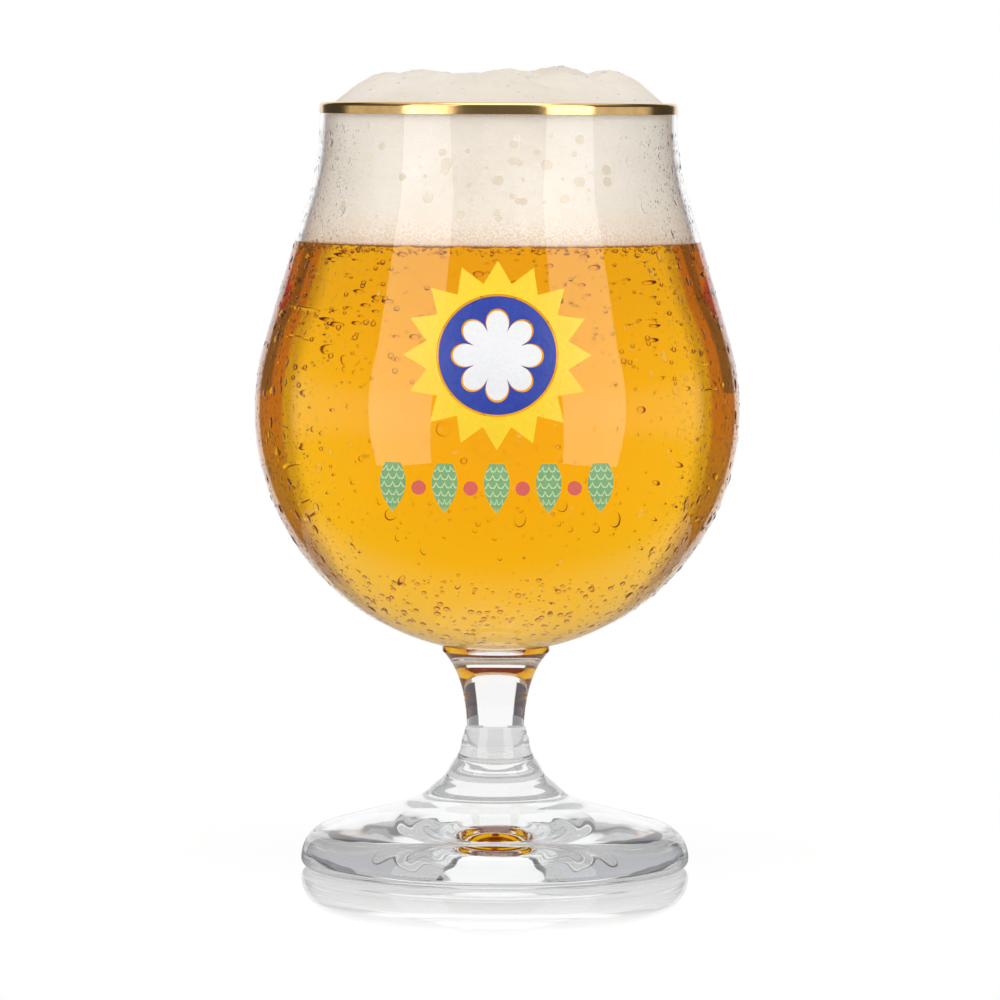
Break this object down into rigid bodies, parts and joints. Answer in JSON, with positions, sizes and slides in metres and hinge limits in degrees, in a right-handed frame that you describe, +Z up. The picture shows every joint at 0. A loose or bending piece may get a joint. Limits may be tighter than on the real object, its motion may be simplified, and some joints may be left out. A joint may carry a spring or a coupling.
{
  "type": "beer goblet",
  "caption": "Stemmed beer goblet with a ball-shaped glass bowl, flared gilded lip, ringed neck and round foot, filled with golden beer under a head of foam.",
  "frame": {"origin": "on the table, in the middle of the ring that the foot rests on", "axes": "+Z up along the stem, -Y out of the front of the bowl where the print is"},
  "size_m": [0.091, 0.0912, 0.1505],
  "materials": {
    "glass": "clear, fire-polished",
    "gilding": "bright fired gold",
    "beer": "clear golden liquid",
    "foam": "matt, fine bubbles",
    "yellow_enamel": "fired enamel, satin",
    "blue_enamel": "fired enamel, satin",
    "white_enamel": "fired enamel, satin",
    "green_enamel": "fired enamel, satin",
    "red_enamel": "fired enamel, satin"
  },
  "bodies": {
    "root": {"foot": "glass", "stem": "glass", "bowl": "glass", "rim_band": "gilding", "beer": "beer", "foam_head": "foam", "print_sun": "yellow_enamel", "print_medallion": "blue_enamel", "print_rosette": "white_enamel", "print_hop_cone_1": "green_enamel", "print_hop_cone_2": "green_enamel", "print_hop_cone_3": "green_enamel", "print_hop_cone_4": "green_enamel", "print_hop_cone_5": "green_enamel", "print_berry_1": "red_enamel", "print_berry_2": "red_enamel", "print_berry_3": "red_enamel", "print_berry_4": "red_enamel"}
  },
  "joints": []
}
